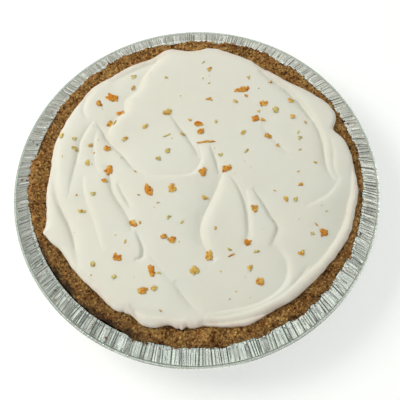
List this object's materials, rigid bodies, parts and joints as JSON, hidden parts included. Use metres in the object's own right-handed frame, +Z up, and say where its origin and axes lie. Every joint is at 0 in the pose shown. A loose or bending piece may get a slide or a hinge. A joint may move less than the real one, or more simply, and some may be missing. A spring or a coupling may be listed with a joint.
{
  "type": "passion fruit pie in a foil pan",
  "caption": "Round cream pie in a crimped foil pan: a crumb crust lines the pan and holds a swooshed pale whipped topping flecked with zest.",
  "frame": {"origin": "centre of the pan's base, on the surface it stands on", "axes": "+Z up out of the pie, +X to the right and +Y away from the viewer"},
  "size_m": [0.222, 0.222, 0.0426],
  "materials": {
    "foil": "thin pressed aluminium, bright and finely creased",
    "crumbs": "baked biscuit crumbs, rough and matte, golden brown with darker edges",
    "cream": "whipped topping, smooth satin, warm white",
    "zest": "fine citrus zest, matte, orange to yellow"
  },
  "bodies": {
    "root": {"foil_pan": "foil", "crumb_crust": "crumbs", "whipped_topping": "cream"}
  },
  "joints": []
}
